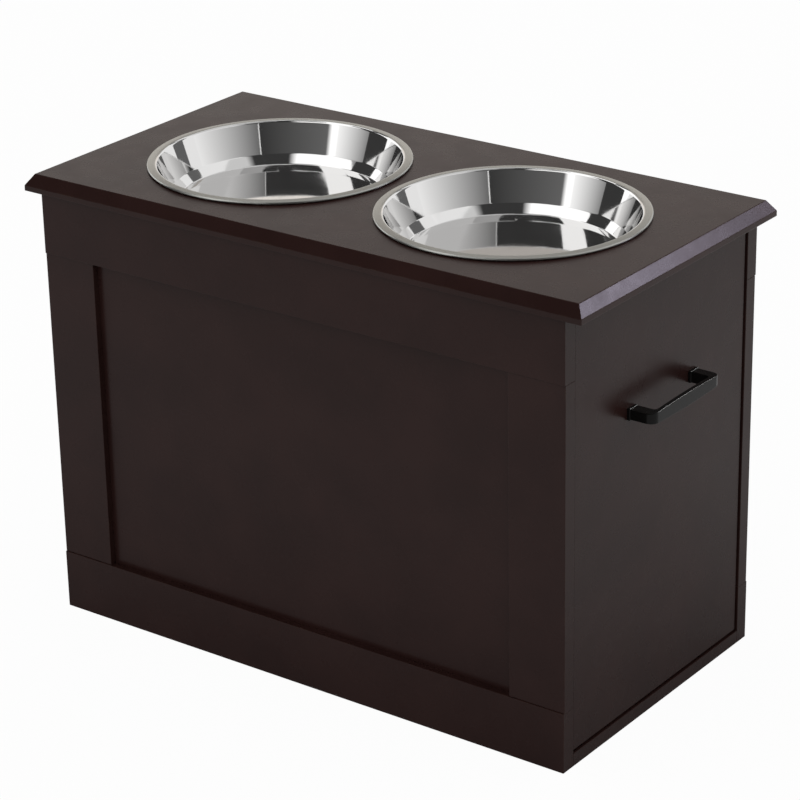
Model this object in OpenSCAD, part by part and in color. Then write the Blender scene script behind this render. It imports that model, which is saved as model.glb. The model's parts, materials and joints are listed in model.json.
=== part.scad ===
// Raised feeding stand for a dog: a panelled cabinet that carries two steel bowls in its
// top board, with a storage drawer that pulls out of one end on ball-bearing slides.
// Millimetres. The origin is on the floor under the middle of the cabinet, X runs towards
// the drawer end, -Y towards the front and Z up. The drawer is drawn closed.

/* [Cabinet] */
// Width of the top board, end to end
top_w = 584; // [560:1:640]
// Depth of the top board, front to rear
top_d = 304; // [290:1:340]
// Height of the whole stand, floor to top board
height = 420; // [400:1:460]
// Thickness of the top board
top_t = 15; // [12:0.5:18]
// How far the bevel runs in across the top board
bevel_w = 7; // [4:0.5:10]
// How far the bevel runs down the edge of the top board
bevel_h = 10; // [6:0.5:11]
// How far the top board reaches past each end of the cabinet
end_overhang = 17; // [10:0.5:22]
// How far the top board reaches past the front and the rear
side_overhang = 3; // [1:0.5:8]
// Thickness of the rails and the end panels
board_t = 15; // [15:0.5:18]
// Thickness of the base board
base_t = 12; // [12:0.5:15]
// Height of the top and bottom rails
rail_h = 56; // [54:0.5:62]
// Width of the stiles at the corners
stile_w = 55; // [45:0.5:65]
// How far the rails stand out past the stiles
rail_step = 1; // [0.5:0.1:1.5]
// Thickness of the recessed panels
panel_t = 6; // [4:0.5:6]
// How far the recessed panels lie behind the stiles
panel_recess = 6; // [4:0.5:6]
// Depth of the grooves that hold the recessed panels
panel_groove = 8; // [6:0.5:10]

/* [Bowls] */
// Distance between the centres of the two bowls
bowl_pitch = 249; // [246:1:256]
// Outer radius of the bowl rim
rim_r = 118; // [110:0.5:120]
// Width of the flat rim
rim_w = 9; // [8:0.5:11]
// Depth of the bowl, from the top of its rim to its floor
bowl_depth = 37; // [34:1:60]
// Radius between the wall and the floor of the bowl
bowl_fillet = 16; // [10:0.5:18]
// Lean of the bowl wall, in degrees
bowl_lean = 21; // [12:0.5:24]
// Thickness of the bowl's sheet steel
bowl_t = 0.8; // [0.6:0.1:1]

/* [Drawer] */
// Gap round the drawer front
drawer_gap = 2; // [1.5:0.1:3]
// How far the drawer front and the far end panel lie behind the ends of the rails
end_setback = 1.5; // [1:0.1:3]
// Thickness of the drawer's sides and back
drawer_side_t = 12; // [12:0.5:15]
// Height of the drawer's sides and back
drawer_side_h = 220; // [160:1:270]
// Clear height of the drawer above the base board
drawer_lift = 4; // [3:0.5:4]
// Thickness of the drawer bottom
drawer_bottom_t = 5; // [3:0.5:6]
// Height of the drawer bottom above the lower edges of the sides
drawer_bottom_lift = 5; // [4:0.5:6]
// Depth of the groove that holds the drawer bottom
drawer_groove = 5; // [4:0.5:6]
// Free length behind the drawer box
drawer_rear_gap = 48; // [35:1:60]

/* [Slides] */
// Length of the slide channels
slide_l = 400; // [350:10:420]
// Travel of the drawer
slide_travel = 300; // [250:10:300]
// Height of the slide channels
slide_h = 35; // [34:0.5:36]
// Height of the slides' centre line above the base board
slide_z = 20; // [19:0.5:22]
// Space between the frame and the drawer side
slide_space = 12.7; // [12.7:0.1:14]
// Thickness of the slides' sheet steel
slide_t = 1.2; // [1:0.1:1.3]
// Diameter of the bearing balls
ball_d = 5; // [4.6:0.1:5.2]
// Distance from one ball to the next along the cage
ball_pitch = 16; // [12:1:20]

/* [Handle] */
// Distance between the handle's screws
handle_pitch = 96; // [64:1:128]
// How far the handle stands out from the drawer front
handle_reach = 25; // [22:0.5:32]
// Depth of the handle's centre line below the upper edge of the drawer front
handle_drop = 112; // [80:1:140]
// Height of the grip in the middle
grip_h = 12; // [10:0.5:16]
// Height of the handle at its legs
leg_h = 9; // [7:0.5:9.5]
// Thickness of the grip
grip_t = 4.5; // [4:0.5:7]
// Width of the handle's legs
leg_w = 11; // [9:0.5:13]

/* [Fasteners] */
// Diameter of the wooden dowels
dowel_d = 7; // [6:0.5:8]
// Length of the wooden dowels
dowel_l = 30; // [24:1:36]
// Diameter of the cam nuts
cam_d = 15; // [12:0.5:15]
// Distance from a cam nut's centre to the edge of its board
cam_reach = 24; // [22:1:26]
// Shank diameter of the cam bolts
cam_bolt_d = 6; // [5:0.5:7]
// Depth of the cam bolts' threads in the board that they pull on
cam_thread_l = 10; // [8:0.5:10]
// Shank diameter of the small wood screws
screw_d = 3.5; // [3:0.5:4]
// Length of the small wood screws
screw_l = 10; // [8:0.5:10]
// Shank diameter of the screws through the drawer sides
long_screw_d = 5; // [4:0.5:5]
// Length of the screws through the drawer sides
long_screw_l = 40; // [30:1:50]
// Shank diameter of the handle screws
handle_screw_d = 4; // [3:0.5:4]

/* [Hidden] */

// Colours, as satin paint over board, bare board inside, steel and zinc
paint = [0.24, 0.20, 0.19];
steel = [0.78, 0.77, 0.74];
zinc = [0.62, 0.63, 0.64];
cast_black = [0.07, 0.07, 0.07];
beech = [0.80, 0.66, 0.47];
rubber = [0.15, 0.15, 0.15];

// Clearances, each side
fit_gap = 0.1;     // a pin or screw in its hole
groove_gap = 0.2;  // a panel in its groove
nut_gap = 0.15;    // a cam nut in its pocket
throat_gap = 0.4;  // a cam bolt's head in its nut
race_gap = 0.25;   // a ball in its race
head_gap = 0.3;    // a ball cage over the screw heads
rim_seat = 0.2;    // under the rolled rim of a bowl
hole_gap = 1.7;    // round a bowl's wall in the top board
stop_gap = 0.3;    // between a closed runner and its bumper
blind_gap = 0.5;   // beyond a pin's or screw's end in its blind hole
slide_end_gap = 1; // between the slides and the drawer front
cage_end_gap = 1;  // between a ball cage and the end of each slide half
cut = 1;           // how far a cutting shape runs past a face

// The cabinet's main planes
body_w = top_w - 2 * end_overhang;
body_d = top_d - 2 * side_overhang;
body_h = height - top_t;
end_x = body_w / 2;
face_y = body_d / 2;
inner_y = face_y - board_t;
panel_y = face_y - rail_step - panel_recess;

// The left end panel and the drawer front
panel_x = end_x - end_setback;
panel_back_x = panel_x - board_t;
front_z0 = base_t + drawer_gap;
front_z1 = body_h - drawer_gap;
front_y = inner_y - drawer_gap;

// The drawer box
box_x0 = -panel_back_x + drawer_rear_gap;
box_y = inner_y - slide_space;
box_z0 = base_t + drawer_lift;
box_z1 = box_z0 + drawer_side_h;
bottom_z = box_z0 + drawer_bottom_lift;

// Screw heads
screw_head_t = 0.9;
screw_head_spread = 1.1;    // a small head's radius, as a share of its shank's diameter
screw_head_r = screw_head_spread * screw_d;
long_head_t = 1.5;
long_head_r = long_screw_d;
handle_head_t = 2.4;
handle_head_r = handle_screw_d;

// The slides: u runs from the frame to the drawer side, v up from the centre line.
// The channel's lips end level with the inner face of the runner's web.
slide_cz = base_t + slide_z;
channel_x1 = panel_back_x - slide_end_gap;
channel_x0 = channel_x1 - slide_l;
bumper_l = 6;
runner_x0 = channel_x0 + bumper_l + stop_gap;
runner_x1 = channel_x1;
ball_r = ball_d / 2;
race_r = ball_r + race_gap;
race_out_r = race_r + slide_t;
ball_u = slide_space - slide_t - race_out_r;
ball_v = slide_h / 2 - race_out_r;
runner_v = ball_v - race_r;
lip_turn = 20;              // degrees that a lip curls past the balls' middle
runner_lip_turn = 10;       // the same for the runner's lips

// The ball cages, half way along the travel of the part of the slides that always overlaps
cage_t = 0.6;
cage_web_u = slide_t + screw_head_t + head_gap;
cage_lip = 1.3;             // how far the cage's flanges reach past the balls' middle
cage_pinch = 0.58;          // where the flanges cross the balls, as a share of their radius
cage_flange_v = ball_v + cage_pinch * ball_r;
cage_overlap = slide_l - slide_travel;
cage_l = cage_overlap - 2 * cage_end_gap;
cage_mid_x = channel_x1 - cage_overlap / 2 - slide_travel / 2;
cage_x0 = cage_mid_x - cage_l / 2;
cage_hole_r = ball_r * sqrt(1 - cage_pinch * cage_pinch) + race_gap;
ball_margin = 9;            // from the end of the cage to its last ball
ball_count = floor((cage_l - 2 * ball_margin) / ball_pitch) + 1;
ball_x0 = cage_mid_x - (ball_count - 1) * ball_pitch / 2;

// The handle
handle_z = front_z1 - handle_drop;
handle_half = handle_pitch / 2 + leg_w / 2;
handle_corner = 12;
handle_thread_l = 9;
handle_screw_l = board_t + handle_thread_l;

// Fastener places
dowel_in = 15;              // a frame dowel from each edge of its stile
rail_cam_in = 60;           // the outer cam bolts of a rail from its ends
end_cam_in = 110;           // the end panel's cam bolts from its upper and lower limits
channel_screw_in = 40;      // the outer screws of a channel from its ends
channel_screw_mid = 120;    // its middle screw from its rear end
runner_screw_rear = 30;     // a runner's rear screw from its rear end
runner_screw_mid = 154;     // its middle screw from its rear end
runner_screw_front = 25;    // its front screw from its front end
drawer_joint_low = 60;      // the drawer's lower fasteners above the sides' lower edges
drawer_joint_high = 40;     // its upper fasteners below the sides' upper edges
cam_rows_x = [-end_x + rail_cam_in, 0, end_x - rail_cam_in];
dowel_rows_x = [cam_rows_x[0] / 2, cam_rows_x[2] / 2];
cam_end_z = [end_cam_in, body_h - end_cam_in];
channel_screw_x = [
    channel_x0 + channel_screw_in, channel_x0 + channel_screw_mid, channel_x1 - channel_screw_in
];
runner_screw_x = [
    runner_x0 + runner_screw_rear, runner_x0 + runner_screw_mid, runner_x1 - runner_screw_front
];
drawer_joint_z = [box_z0 + drawer_joint_low, box_z1 - drawer_joint_high];

// How deep a cam nut sits in a board of the given thickness
cam_past_middle = 4.5;
function cam_depth(thick) = thick / 2 + cam_past_middle;
cam_thread_step = 0.5;      // how much thinner a cam bolt's thread is than its shank
cam_neck_step = 1.2;        // how much thinner its neck is
cam_thread_r = cam_bolt_d / 2 - cam_thread_step;

// ---- helpers ----

// Extrudes a (y, z) outline along X
module along_x(x0, x1) {
    translate([x0, 0, 0])
        rotate([90, 0, 90])
            linear_extrude(x1 - x0)
                children();
}

// Extrudes an (x, z) outline along Y
module along_y(y0, y1) {
    translate([0, y1, 0])
        rotate([90, 0, 0])
            linear_extrude(y1 - y0)
                children();
}

// A box from its low corner to its high corner
module block(low, high) {
    translate(low)
        cube(high - low);
}

// Shows the front's shape as it is, and the rear's as its mirror image
module side(rear = false) {
    if (rear)
        mirror([0, 1, 0]) children();
    else
        children();
}
module both_sides() {
    for (rear = [false, true])
        side(rear) children();
}

// Puts a piece at a point, its own Z along one axis and its own X along another
module aim(at, z_dir, x_dir) {
    y_dir = cross(z_dir, x_dir);
    multmatrix([
        [x_dir.x, y_dir.x, z_dir.x, at.x],
        [x_dir.y, y_dir.y, z_dir.y, at.y],
        [x_dir.z, y_dir.z, z_dir.z, at.z],
        [0, 0, 0, 1]
    ])
        children();
}

// ---- fasteners, each drawn along +Z from the face that it starts at ----

// Wooden dowel with chamfered ends, centred on the joint
module dowel() {
    r = dowel_d / 2;
    chamfer = 1;
    rotate_extrude($fn = 32)
        polygon([
            [0, -dowel_l / 2], [r - chamfer, -dowel_l / 2], [r, -dowel_l / 2 + chamfer],
            [r, dowel_l / 2 - chamfer], [r - chamfer, dowel_l / 2], [0, dowel_l / 2]
        ]);
}
module dowel_hole() {
    cylinder(r = dowel_d / 2 + fit_gap, h = dowel_l + 2 * blind_gap, center = true, $fn = 32);
}

// Cam bolt: thread below the joint plane, collar on it, shank and neck up to the ball head
module cam_bolt() {
    neck_l = 3;
    neck_r = cam_bolt_d / 2 - cam_neck_step;
    head_l = 2.4;
    shank_l = cam_reach - neck_l - head_l / 2;
    translate([0, 0, -cam_thread_l])
        cylinder(r = cam_thread_r, h = cam_thread_l, $fn = 32);
    cylinder(r = cam_bolt_d / 2, h = shank_l, $fn = 32);
    translate([0, 0, shank_l])
        cylinder(r = neck_r, h = neck_l, $fn = 32);
    translate([0, 0, shank_l + neck_l])
        cylinder(r = cam_bolt_d / 2, h = head_l, $fn = 32);
}
module cam_bolt_hole() {
    translate([0, 0, -cam_thread_l - blind_gap])
        cylinder(r = cam_thread_r + fit_gap, h = cam_thread_l + blind_gap + cut, $fn = 32);
    cylinder(r = cam_bolt_d / 2 + fit_gap, h = cam_reach, $fn = 32);
}

// Cam nut for a board of the given thickness, drawn from its slotted face at z = 0 down;
// the bolt comes in from -X
module cam_nut(thick) {
    r = cam_d / 2 - nut_gap;
    slot_w = 1.6;
    slot_d = 2.2;
    slot_in = 2.8;
    slot_l = 2 * (r - slot_in);
    throat_r = cam_bolt_d / 2 + throat_gap;
    difference() {
        translate([0, 0, -cam_depth(thick)])
            cylinder(r = r, h = cam_depth(thick), $fn = 48);
        for (turn = [0, 90])
            rotate([0, 0, turn])
                translate([-slot_l / 2, -slot_w / 2, -slot_d])
                    cube([slot_l, slot_w, slot_d + cut]);
        translate([-r - cut, 0, -thick / 2])
            rotate([0, 90, 0])
                cylinder(r = throat_r, h = r + cut + throat_r, $fn = 32);
    }
}
module cam_nut_hole(thick) {
    translate([0, 0, -cam_depth(thick)])
        cylinder(r = cam_d / 2, h = cam_depth(thick) + cut, $fn = 48);
}

// Low-headed wood screw, its head on the face at z = 0 and its shank going down
module low_screw(d, l, head_r, head_t) {
    slot_w = 0.8;
    slot_floor = 0.4 * head_t;
    translate([0, 0, -l])
        cylinder(r = d / 2, h = l, $fn = 24);
    difference() {
        cylinder(r = head_r, h = head_t, $fn = 32);
        for (turn = [0, 90])
            rotate([0, 0, turn])
                translate([-head_r / 2, -slot_w / 2, slot_floor])
                    cube([head_r, slot_w, head_t]);
    }
}

// ---- places that several pieces share, all for the front; the rear mirrors them ----

// The wooden dowels between the rails and the stiles
module at_frame_dowels() {
    for (x = [end_x - dowel_in, end_x - stile_w + dowel_in], sign = [-1, 1], z = [rail_h, body_h - rail_h])
        translate([sign * x, -(face_y - rail_step + inner_y) / 2, z])
            children();
}

// The dowels between the top rail and the top board
module at_top_dowels() {
    for (x = dowel_rows_x)
        translate([x, -face_y + board_t / 2, body_h + cam_thread_l - dowel_l / 2])
            children();
}

// The cam bolts that pull the top board down
module at_top_bolts() {
    for (x = cam_rows_x)
        aim([x, -face_y + board_t / 2, body_h], [0, 0, -1], [1, 0, 0])
            children();
}
module at_top_nuts() {
    for (x = cam_rows_x)
        aim([x, -inner_y, body_h - cam_reach], [0, 1, 0], [0, 0, -1])
            children();
}

// The cam bolts that pull the base board against the bottom rail
module at_base_bolts() {
    for (x = cam_rows_x)
        aim([x, -inner_y, base_t / 2], [0, 1, 0], [1, 0, 0])
            children();
}
module at_base_nuts() {
    for (x = cam_rows_x)
        aim([x, -inner_y + cam_reach, 0], [0, 0, -1], [0, 1, 0])
            children();
}

// The cam bolts that pull the left end panel against the left stile
module at_end_bolts() {
    for (z = cam_end_z)
        aim([-panel_x + board_t / 2, -inner_y, z], [0, 1, 0], [1, 0, 0])
            children();
}
module at_end_nuts() {
    for (z = cam_end_z)
        aim([-panel_back_x, -inner_y + cam_reach, z], [1, 0, 0], [0, 1, 0])
            children();
}

// The cam bolts that pull the drawer front against a drawer side
module at_drawer_bolts() {
    for (z = drawer_joint_z)
        aim([panel_back_x, -box_y + drawer_side_t / 2, z], [-1, 0, 0], [0, 1, 0])
            children();
}
module at_drawer_nuts() {
    for (z = drawer_joint_z)
        aim([panel_back_x - cam_reach, -box_y + drawer_side_t, z], [0, 1, 0], [-1, 0, 0])
            children();
}

// The screws through a drawer side into the back
module at_back_screws() {
    for (z = drawer_joint_z)
        aim([box_x0 + drawer_side_t / 2, -box_y, z], [0, -1, 0], [1, 0, 0])
            children();
}

// The screws through a slide channel, heads on its web
module at_channel_screws() {
    for (x = channel_screw_x)
        aim([x, -inner_y + slide_t, slide_cz], [0, 1, 0], [1, 0, 0])
            children();
}

// The screws through a slide runner, heads on its web
module at_runner_screws() {
    for (x = runner_screw_x)
        aim([x, -box_y - slide_t, slide_cz], [0, -1, 0], [1, 0, 0])
            children();
}

// The screws through the drawer front into the handle
module at_handle_screws() {
    for (sign = [-1, 1])
        aim([panel_back_x, sign * handle_pitch / 2, handle_z], [-1, 0, 0], [0, 1, 0])
            children();
}

// A hole for a screw whose head lies on the face at z = 0
module screw_hole(d, l) {
    translate([0, 0, -l - blind_gap])
        cylinder(r = d / 2 + fit_gap, h = l + blind_gap + cut, $fn = 24);
}

// ---- cabinet ----

// The board's section: square below, bevelled above
module bevelled_section(w) {
    translate([0, body_h])
        polygon([
            [-w / 2, 0], [w / 2, 0], [w / 2, top_t - bevel_h], [w / 2 - bevel_w, top_t],
            [-w / 2 + bevel_w, top_t], [-w / 2, top_t - bevel_h]
        ]);
}

module top_board() {
    wall_r = rim_r - rim_w + bowl_t;
    color(paint)
        difference() {
            intersection() {
                along_x(-top_w / 2, top_w / 2)
                    bevelled_section(top_d);
                along_y(-top_d / 2, top_d / 2)
                    bevelled_section(top_w);
            }
            for (sign = [-1, 1])
                translate([sign * bowl_pitch / 2, 0, body_h - cut])
                    cylinder(r = wall_r + hole_gap, h = top_t + 2 * cut, $fn = 128);
            both_sides() {
                at_top_bolts() cam_bolt_hole();
                at_top_dowels() dowel_hole();
            }
        }
}

module base_board() {
    color(paint)
        difference() {
            block([-end_x, -inner_y, 0], [end_x, inner_y, base_t]);
            both_sides() {
                at_base_bolts() cam_bolt_hole();
                at_base_nuts() cam_nut_hole(base_t);
            }
        }
}

module left_end_panel() {
    color(paint)
        difference() {
            block([-panel_x, -inner_y, base_t], [-panel_back_x, inner_y, body_h]);
            both_sides() {
                at_end_bolts() cam_bolt_hole();
                at_end_nuts() cam_nut_hole(board_t);
            }
        }
}

// The groove for a recessed panel, all round its opening
module panel_groove_cut() {
    x = end_x - stile_w + panel_groove;
    block(
        [-x, -panel_y - groove_gap, rail_h - panel_groove],
        [x, -panel_y + panel_t + groove_gap, body_h - rail_h + panel_groove]
    );
}

module top_rail() {
    color(paint)
        difference() {
            block([-end_x, -face_y, body_h - rail_h], [end_x, -inner_y, body_h]);
            panel_groove_cut();
            at_frame_dowels() dowel_hole();
            at_top_dowels() dowel_hole();
            at_top_bolts() cam_bolt_hole();
            at_top_nuts() cam_nut_hole(board_t);
        }
}

module bottom_rail() {
    color(paint)
        difference() {
            block([-end_x, -face_y, 0], [end_x, -inner_y, rail_h]);
            panel_groove_cut();
            at_frame_dowels() dowel_hole();
            at_base_bolts() cam_bolt_hole();
            at_channel_screws() screw_hole(screw_d, screw_l);
        }
}

// A stile at the left or the right end
module stile(left = true) {
    sign = left ? -1 : 1;
    x0 = min(sign * end_x, sign * (end_x - stile_w));
    color(paint)
        difference() {
            block(
                [x0, -face_y + rail_step, rail_h],
                [x0 + stile_w, -inner_y, body_h - rail_h]
            );
            panel_groove_cut();
            at_frame_dowels() dowel_hole();
            if (left)
                at_end_bolts() cam_bolt_hole();
        }
}

module recessed_panel() {
    x = end_x - stile_w + panel_groove - groove_gap;
    color(paint)
        block(
            [-x, -panel_y, rail_h - panel_groove + groove_gap],
            [x, -panel_y + panel_t, body_h - rail_h + panel_groove - groove_gap]
        );
}

module front_top_rail() { side() top_rail(); }
module front_bottom_rail() { side() bottom_rail(); }
module front_left_stile() { side() stile(left = true); }
module front_right_stile() { side() stile(left = false); }
module front_panel() { side() recessed_panel(); }
module rear_top_rail() { side(rear = true) top_rail(); }
module rear_bottom_rail() { side(rear = true) bottom_rail(); }
module rear_left_stile() { side(rear = true) stile(left = true); }
module rear_right_stile() { side(rear = true) stile(left = false); }
module rear_panel() { side(rear = true) recessed_panel(); }

module frame_dowels() {
    color(beech)
        both_sides() at_frame_dowels() dowel();
}

module top_dowels() {
    color(beech)
        both_sides() at_top_dowels() dowel();
}

module cabinet_cam_bolts() {
    color(zinc)
        both_sides() {
            at_top_bolts() cam_bolt();
            at_base_bolts() cam_bolt();
            at_end_bolts() cam_bolt();
        }
}

module cabinet_cam_nuts() {
    color(zinc)
        both_sides() {
            at_top_nuts() cam_nut(board_t);
            at_base_nuts() cam_nut(base_t);
            at_end_nuts() cam_nut(board_t);
        }
}

// ---- slides ----

// The (u, v) outline turned up from the frame's inner face at the slides' height
module slide_section(x0, x1) {
    translate([0, -inner_y, slide_cz])
        along_x(x0, x1)
            children();
}

// Part of a ring round the ball's centre, from angle a0 up to a1
module race(a0, a1) {
    far = 2 * race_out_r;
    mid = (a0 + a1) / 2;
    translate([ball_u, ball_v])
        intersection() {
            difference() {
                circle(r = race_out_r, $fn = 64);
                circle(r = race_r, $fn = 64);
            }
            polygon([
                [0, 0], far * [cos(a0), sin(a0)], far * [cos(mid), sin(mid)],
                far * [cos(a1), sin(a1)]
            ]);
        }
}

// The channel on the frame: web, two flanges and lips curled round the outside of the balls
module channel_outline() {
    square_from([0, -slide_h / 2], [slide_t, slide_h / 2]);
    for (flip = [0, 1])
        mirror([0, flip]) {
            square_from([0, slide_h / 2 - slide_t], [ball_u, slide_h / 2]);
            race(-lip_turn, 90);
        }
}

// The runner on the drawer side: web, two flanges and lips curled round the inside of the balls
module runner_outline() {
    square_from([slide_space - slide_t, -runner_v], [slide_space, runner_v]);
    for (flip = [0, 1])
        mirror([0, flip]) {
            square_from([ball_u, runner_v - slide_t], [slide_space, runner_v]);
            race(-180 - runner_lip_turn, -90);
        }
}

module square_from(low, high) {
    translate(low)
        square(high - low);
}

module channel() {
    color(zinc)
        difference() {
            slide_section(channel_x0, channel_x1)
                channel_outline();
            at_channel_screws() screw_hole(screw_d, screw_l);
        }
}

module runner() {
    color(zinc)
        difference() {
            slide_section(runner_x0, runner_x1)
                runner_outline();
            at_runner_screws() screw_hole(screw_d, screw_l);
        }
}

// The cage: a thin trough between channel and runner, with a pocket for every ball
module ball_cage() {
    color(steel)
        difference() {
            slide_section(cage_x0, cage_x0 + cage_l)
                difference() {
                    square_from(
                        [cage_web_u, -cage_flange_v - cage_t],
                        [ball_u + cage_lip, cage_flange_v + cage_t]
                    );
                    square_from(
                        [cage_web_u + cage_t, -cage_flange_v],
                        [ball_u + cage_lip + cut, cage_flange_v]
                    );
                }
            at_balls()
                translate([0, 0, -ball_d])
                    cylinder(r = cage_hole_r, h = 2 * ball_d, $fn = 32);
        }
}

module at_balls() {
    for (i = [0 : ball_count - 1], sign = [-1, 1])
        translate([ball_x0 + i * ball_pitch, -inner_y + ball_u, slide_cz + sign * ball_v])
            children();
}

module balls() {
    color(steel)
        at_balls() sphere(r = ball_r, $fn = 32);
}

module bumper() {
    color(rubber)
        slide_section(channel_x0, channel_x0 + bumper_l)
            square_from([slide_t, -runner_v], [ball_u, runner_v]);
}

module front_channel() { side() channel(); }
module rear_channel() { side(rear = true) channel(); }
module front_runner() { side() runner(); }
module rear_runner() { side(rear = true) runner(); }
module front_ball_cage() { side() ball_cage(); }
module rear_ball_cage() { side(rear = true) ball_cage(); }
module front_balls() { side() balls(); }
module rear_balls() { side(rear = true) balls(); }

module channel_screws() {
    color(zinc)
        both_sides() at_channel_screws() low_screw(screw_d, screw_l, screw_head_r, screw_head_t);
}

module runner_screws() {
    color(zinc)
        both_sides() at_runner_screws() low_screw(screw_d, screw_l, screw_head_r, screw_head_t);
}

module slide_bumpers() { both_sides() bumper(); }

// ---- bowls ----

// Points along an arc, each with its normal: [point, normal]
function arc(centre, r, a0, a1, steps, out) = [
    for (i = [0 : steps])
        let (a = a0 + (a1 - a0) * i / steps, n = [cos(a), sin(a)])
            [centre + r * n, out * n]
];

// The sheet's middle line from the axis out to the curl, as [point, normal] pairs.
// The wall is the straight run between the fillet and the rim's bend; both share its normal.
function bowl_line() =
    let (
        curl_r = 0.9,
        bend_top_r = 3,
        bend_r = bend_top_r - bowl_t / 2,
        fillet_r = bowl_fillet + bowl_t / 2,
        droop = 4,
        curl_z = rim_seat + bowl_t / 2 + curl_r,
        bend_at_r = rim_r - rim_w + bend_r,
        flange_n = [sin(droop), cos(droop)],
        flange_d = [cos(droop), -sin(droop)],
        run = (rim_r - curl_r - bowl_t / 2 - bend_at_r - (bend_r - curl_r) * flange_n.x) / flange_d.x,
        bend_z = curl_z - (bend_r - curl_r) * flange_n.y - run * flange_d.y,
        bend_c = [bend_at_r, bend_z],
        curl_c = bend_c + (bend_r - curl_r) * flange_n + run * flange_d,
        rim_top = bend_z + bend_r + bowl_t / 2,
        floor_z = rim_top - bowl_depth - bowl_t / 2,
        fillet_z = floor_z + fillet_r,
        drop = bend_z - fillet_z,
        fillet_at_r = bend_at_r - (bend_r + fillet_r + sin(bowl_lean) * drop) / cos(bowl_lean),
        fillet_c = [fillet_at_r, fillet_z]
    )
    concat(
        [[[0, floor_z], [0, 1]]],
        arc(fillet_c, fillet_r, -90, -bowl_lean, 10, -1),
        arc(bend_c, bend_r, 180 - bowl_lean, 90 - droop, 8, 1),
        arc(curl_c, curl_r, 90 - droop, -150, 12, 1)
    );

module bowl(x) {
    line = bowl_line();
    last = len(line) - 1;
    upper = [for (p = line) p[0] + p[1] * bowl_t / 2];
    lower = [for (i = [last : -1 : 0]) line[i][0] - line[i][1] * bowl_t / 2];
    color(steel)
        translate([x, 0, height])
            rotate_extrude($fn = 128)
                polygon(concat(upper, lower));
}

module bowl_left() { bowl(-bowl_pitch / 2); }
module bowl_right() { bowl(bowl_pitch / 2); }

// ---- drawer ----

module drawer_front() {
    color(paint)
        difference() {
            block([panel_back_x, -front_y, front_z0], [panel_x, front_y, front_z1]);
            drawer_bottom_cut();
            both_sides()
                at_drawer_bolts() cam_bolt_hole();
            at_handle_screws() screw_hole(handle_screw_d, handle_screw_l);
        }
}

// The groove for the drawer bottom, in the front, the back and both sides
module drawer_bottom_cut() {
    y = box_y - drawer_side_t + drawer_groove;
    block(
        [box_x0 + drawer_side_t - drawer_groove, -y, bottom_z - groove_gap],
        [panel_back_x + drawer_groove, y, bottom_z + drawer_bottom_t + groove_gap]
    );
}

module drawer_side() {
    color(paint)
        difference() {
            block([box_x0, -box_y, box_z0], [panel_back_x, -box_y + drawer_side_t, box_z1]);
            drawer_bottom_cut();
            at_drawer_bolts() cam_bolt_hole();
            at_drawer_nuts() cam_nut_hole(drawer_side_t);
            at_runner_screws() screw_hole(screw_d, screw_l);
            at_back_screws() screw_hole(long_screw_d, long_screw_l);
        }
}

module drawer_side_front() { side() drawer_side(); }
module drawer_side_rear() { side(rear = true) drawer_side(); }

module drawer_back() {
    y = box_y - drawer_side_t;
    color(paint)
        difference() {
            block([box_x0, -y, box_z0], [box_x0 + drawer_side_t, y, box_z1]);
            drawer_bottom_cut();
            both_sides()
                at_back_screws() screw_hole(long_screw_d, long_screw_l);
        }
}

module drawer_bottom() {
    y = box_y - drawer_side_t + drawer_groove - groove_gap;
    color(paint)
        block(
            [box_x0 + drawer_side_t - drawer_groove + groove_gap, -y, bottom_z],
            [panel_back_x + drawer_groove - groove_gap, y, bottom_z + drawer_bottom_t]
        );
}

module drawer_cam_bolts() {
    color(zinc)
        both_sides() at_drawer_bolts() cam_bolt();
}

module drawer_cam_nuts() {
    color(zinc)
        both_sides() at_drawer_nuts() cam_nut(drawer_side_t);
}

module drawer_back_screws() {
    color(zinc)
        both_sides()
            at_back_screws() low_screw(long_screw_d, long_screw_l, long_head_r, long_head_t);
}

// ---- handle ----

// Half of a bow seen from above: a rectangle with two round corners away from the drawer front
module bow_plan(reach, half, corner) {
    square_from([0, -half], [reach - corner, half]);
    square_from([0, -half + corner], [reach, half - corner]);
    for (sign = [-1, 1])
        translate([reach - corner, sign * (half - corner)])
            circle(r = corner, $fn = 64);
}

// The bow seen from the end of the cabinet: deeper in the middle than at its legs
module bow_elevation() {
    swell = (grip_h - leg_h) / 2;
    big_r = (handle_half * handle_half + swell * swell) / (2 * swell);
    intersection() {
        square_from([-handle_half, -grip_h], [handle_half, grip_h]);
        translate([0, grip_h / 2 - big_r])
            circle(r = big_r, $fn = 720);
        translate([0, -grip_h / 2 + big_r])
            circle(r = big_r, $fn = 720);
    }
}

module handle() {
    pad_t = 3;
    pad_rim = 0.8;
    inner_half = handle_half - leg_w;
    inner_reach = handle_reach - grip_t;
    inner_corner = handle_corner - grip_t;
    color(cast_black)
        difference() {
            union() {
                intersection() {
                    translate([panel_x, 0, handle_z - grip_h])
                        linear_extrude(2 * grip_h)
                            difference() {
                                bow_plan(handle_reach, handle_half, handle_corner);
                                translate([-cut, 0])
                                    bow_plan(inner_reach + cut, inner_half, inner_corner);
                            }
                    translate([0, 0, handle_z])
                        along_x(panel_x, panel_x + handle_reach)
                            bow_elevation();
                }
                for (sign = [-1, 1])
                    translate([panel_x, sign * handle_pitch / 2, handle_z])
                        block(
                            [0, -leg_w / 2 - pad_rim, -leg_h / 2 - pad_rim],
                            [pad_t, leg_w / 2 + pad_rim, leg_h / 2 + pad_rim]
                        );
            }
            at_handle_screws() screw_hole(handle_screw_d, handle_screw_l);
        }
}

module handle_screws() {
    color(zinc)
        at_handle_screws()
            low_screw(handle_screw_d, handle_screw_l, handle_head_r, handle_head_t);
}

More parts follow.
